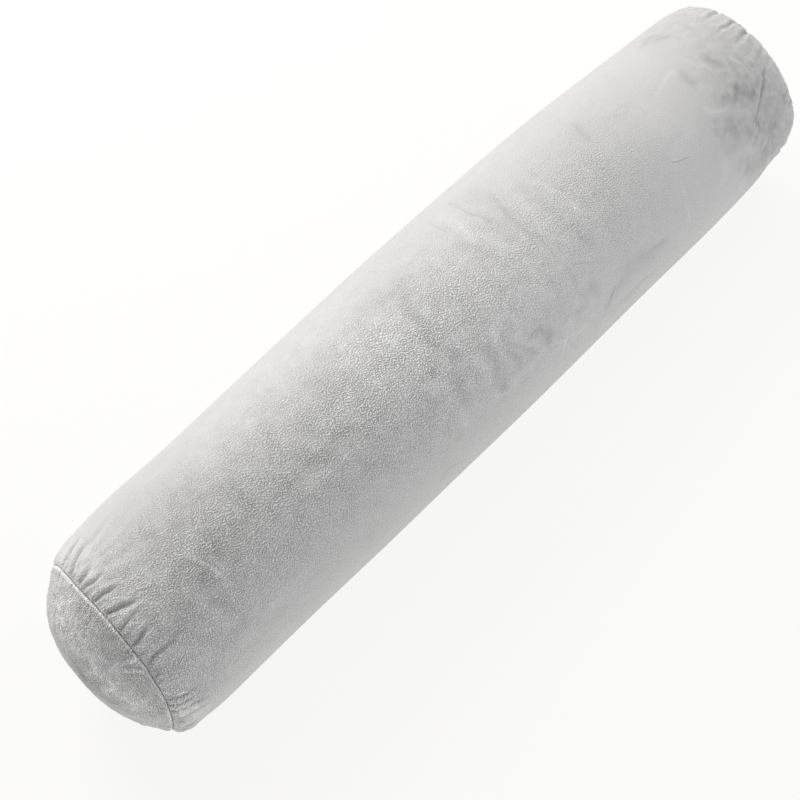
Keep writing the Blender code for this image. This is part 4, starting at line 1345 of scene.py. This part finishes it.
class PILLOW_OT_set_up_studio(bpy.types.Operator):
    """Lay the floor, hang the lights and place the camera"""

    bl_idname = "pillow.set_up_studio"
    bl_label = "Set Up Studio"

    def execute(self, context):
        studio = context.scene.pillow_studio
        self.lay_floor(studio)
        self.light(context.scene, studio)
        self.place_camera(context.scene, studio)
        return {"FINISHED"}

    def lay_floor(self, studio):
        mesh = bpy.data.meshes.new("floor")
        reach = FLOOR_HALF
        mesh.from_pydata([(-reach, -reach, 0), (reach, -reach, 0), (reach, reach, 0), (-reach, reach, 0)],
                         [], [(0, 1, 2, 3)])
        mesh.materials.append(floor_material(studio))
        link(bpy.data.objects.new("floor", mesh))

    def light(self, scene, studio):
        scene.world = bpy.data.worlds.new("studio")
        scene.world.use_nodes = True
        graph = Graph(scene.world.node_tree)
        graph.tree.nodes.clear()
        seen_sky = graph.add("ShaderNodeBackground", None, {"Color": PLAIN_WHITE, "Strength": SKY_SHOWN})
        lighting_sky = graph.add(
            "ShaderNodeBackground", None, {"Color": SKY_TINT, "Strength": studio.surroundings})
        shown = graph.add("ShaderNodeLightPath", output="Is Camera Ray")
        mixed = graph.add("ShaderNodeMixShader", None, {0: shown, 1: lighting_sky, 2: seen_sky})
        graph.feed(graph.tree.nodes.new("ShaderNodeOutputWorld").inputs["Surface"], mixed)
        for lamp in LAMPS:
            data = bpy.data.lights.new(lamp.name, "AREA")
            data.size = lamp.size
            data.energy = lamp.watts
            data.color = lamp.colour
            light = link(bpy.data.objects.new(lamp.name, data))
            light.location = lamp.place
            light.rotation_euler = (Vector(LAMP_AIM) - light.location).to_track_quat("-Z", "Y").to_euler()
            light.visible_camera = False

    def place_camera(self, scene, studio):
        data = bpy.data.cameras.new("camera")
        data.lens = studio.lens
        data.sensor_width = SENSOR_WIDTH
        camera = link(bpy.data.objects.new("camera", data))
        level = math.cos(CAMERA_DROP)
        look = Vector((level * math.sin(CAMERA_AZIMUTH), level * math.cos(CAMERA_AZIMUTH),
                       -math.sin(CAMERA_DROP)))
        camera.location = CAMERA_PLACE
        camera.rotation_euler = look.to_track_quat("-Z", "Y").to_euler()
        scene.camera = camera
        scene.view_settings.view_transform = "Standard"


class PILLOW_PT_sidebar(bpy.types.Panel):
    """Lists the pillow's settings and operators"""

    bl_label = "Body Pillow"
    bl_idname = "PILLOW_PT_sidebar"
    bl_space_type = "VIEW_3D"
    bl_region_type = "UI"
    bl_category = "Body Pillow"

    def draw(self, context):
        for settings, operators in (
            (context.scene.pillow_shape, ("pillow.add_tube", "pillow.add_ends")),
            (context.scene.plush_finish, ()),
            (context.scene.pillow_studio, ("pillow.set_up_studio",)),
        ):
            column = self.layout.column(align=True)
            for name in type(settings).__annotations__:
                column.prop(settings, name)
            for operator in operators:
                column.operator(operator)


CLASSES = (PillowShape, PlushFinish, PillowStudio, PILLOW_OT_add_tube, PILLOW_OT_add_ends,
           PILLOW_OT_set_up_studio, PILLOW_PT_sidebar)


def register():
    for cls in CLASSES:
        bpy.utils.register_class(cls)
    bpy.types.Scene.pillow_shape = PointerProperty(type=PillowShape)
    bpy.types.Scene.plush_finish = PointerProperty(type=PlushFinish)
    bpy.types.Scene.pillow_studio = PointerProperty(type=PillowStudio)


def unregister():
    for name in ("pillow_studio", "plush_finish", "pillow_shape"):
        delattr(bpy.types.Scene, name)
    for cls in reversed(CLASSES):
        bpy.utils.unregister_class(cls)


def main():
    register()
    bpy.ops.pillow.add_tube()
    bpy.ops.pillow.add_ends()
    bpy.ops.pillow.set_up_studio()


if __name__ == "__main__":
    main()
